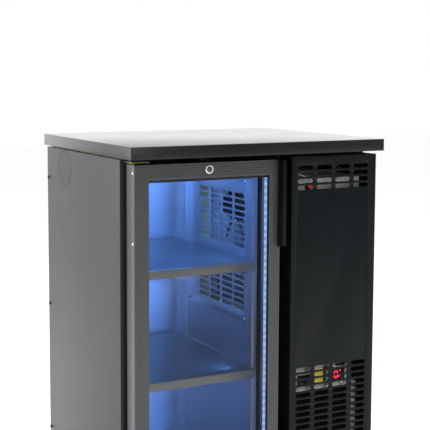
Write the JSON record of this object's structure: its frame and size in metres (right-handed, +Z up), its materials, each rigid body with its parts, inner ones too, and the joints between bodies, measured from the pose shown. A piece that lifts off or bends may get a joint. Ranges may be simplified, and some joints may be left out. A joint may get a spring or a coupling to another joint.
{
  "type": "undercounter refrigerator",
  "caption": "Black undercounter bottle refrigerator: glazed side-hinged door over a shelved, lit cold cabin, with a louvred machine compartment at the right.",
  "frame": {"origin": "on the floor, at the middle of the footprint", "axes": "+Z up, front faces -Y, hinge side at -X, machine compartment at +X"},
  "size_m": [0.64, 0.54, 0.9],
  "materials": {
    "black_coat": "satin black powder coat",
    "frame_aluminium": "dark brushed anodised",
    "liner_steel": "fine brushed",
    "shelf_steel": "satin",
    "galvanised": "galvanised",
    "foam": "rigid polyurethane foam",
    "door_glass": "clear",
    "rubber": "black",
    "black_plastic": "moulded black",
    "chrome": "polished",
    "zinc_plate": "yellow zinc plate",
    "led": "lit diffuser",
    "fin_aluminium": "thin fins",
    "copper": "bare copper tube",
    "compressor_paint": "black enamel"
  },
  "bodies": {
    "cabinet": {"worktop": "black_coat", "left_side_panel": "black_coat", "knockout_disc": "black_coat", "right_side_panel": "black_coat", "kick_plate": "black_coat", "machine_front_panel": "black_coat", "lock_strike": "black_coat", "liner_left": "liner_steel", "liner_right": "liner_steel", "liner_rear": "liner_steel", "liner_ceiling": "liner_steel", "liner_floor": "liner_steel", "shelf_upright_left_front": "liner_steel", "shelf_upright_left_rear": "liner_steel", "shelf_upright_right_front": "liner_steel", "shelf_upright_right_rear": "liner_steel", "evaporator_cover": "liner_steel", "upper_shelf": "shelf_steel", "lower_shelf": "shelf_steel", "rear_panel": "galvanised", "bottom_panel": "galvanised", "bulkhead": "galvanised", "evaporator_housing": "galvanised", "control_bracket": "galvanised", "fan_shroud": "galvanised", "foam_insulation": "foam", "front_breaker_frame": "black_plastic", "drip_tray": "black_plastic", "evaporator_fan_motor": "black_plastic", "controller": "black_plastic", "compressor_terminal_box": "black_plastic", "power_inlet": "black_plastic", "hinge_bracket_top": "zinc_plate", "hinge_bracket_bottom": "zinc_plate", "evaporator_coil": "fin_aluminium", "condenser_coil": "fin_aluminium", "filter_drier": "copper", "suction_line": "copper", "compressor": "compressor_paint", "condenser_fan_motor": "compressor_paint"},
    "door": {"door_rail_top": "frame_aluminium", "door_rail_bottom": "frame_aluminium", "door_stile_left": "frame_aluminium", "door_stile_right": "frame_aluminium", "glass_outer": "door_glass", "glass_inner": "door_glass", "glass_spacer": "rubber", "door_gasket": "rubber", "led_strip": "led", "door_handle": "black_plastic", "lock_barrel": "chrome"},
    "lock": {"lock_plug": "chrome"},
    "evaporator_fan": {"evaporator_fan_wheel": "black_plastic"},
    "condenser_fan": {"condenser_fan_wheel": "fin_aluminium"},
    "rocker": {"rocker_switch": "black_plastic"},
    "key": {"controller_key": "rubber"},
    "levelling_foot_front_left": {"foot_front_left": "black_plastic"},
    "levelling_foot_front_right": {"foot_front_right": "black_plastic"},
    "levelling_foot_rear_left": {"foot_rear_left": "black_plastic"},
    "levelling_foot_rear_right": {"foot_rear_right": "black_plastic"}
  },
  "joints": [
    {"name": "door_hinge", "type": "hinge", "parent": "cabinet", "child": "door", "pos_m": [-0.294, -0.23, 0.4685], "axis": [0, 0, -1], "range_deg": [0, 105]},
    {"name": "lock_turn", "type": "hinge", "parent": "door", "child": "lock", "pos_m": [-0.1265, -0.25, 0.846], "axis": [0, 1, 0], "range_deg": [0, 90]},
    {"name": "evaporator_fan_spin", "type": "hinge", "parent": "cabinet", "child": "evaporator_fan", "pos_m": [0.068, -0.018, 0.715], "axis": [1, 0, 0], "continuous": true},
    {"name": "condenser_fan_spin", "type": "hinge", "parent": "cabinet", "child": "condenser_fan", "pos_m": [0.1825, -0.154, 0.204], "axis": [0, 1, 0], "continuous": true},
    {"name": "rocker_tilt", "type": "hinge", "parent": "cabinet", "child": "rocker", "pos_m": [0.132, -0.228, 0.3434], "axis": [0, 0, -1], "range_deg": [0, 8]},
    {"name": "key_press", "type": "slide", "parent": "cabinet", "child": "key", "axis": [0, 1, 0], "range_m": [0, 0.0008], "stiffness_N_per_m": 600},
    {"name": "foot_thread_front_left", "type": "slide", "parent": "cabinet", "child": "levelling_foot_front_left", "axis": [0, 0, -1], "range_m": [0, 0.015]},
    {"name": "foot_thread_front_right", "type": "slide", "parent": "cabinet", "child": "levelling_foot_front_right", "axis": [0, 0, -1], "range_m": [0, 0.015]},
    {"name": "foot_thread_rear_left", "type": "slide", "parent": "cabinet", "child": "levelling_foot_rear_left", "axis": [0, 0, -1], "range_m": [0, 0.015]},
    {"name": "foot_thread_rear_right", "type": "slide", "parent": "cabinet", "child": "levelling_foot_rear_right", "axis": [0, 0, -1], "range_m": [0, 0.015]}
  ]
}
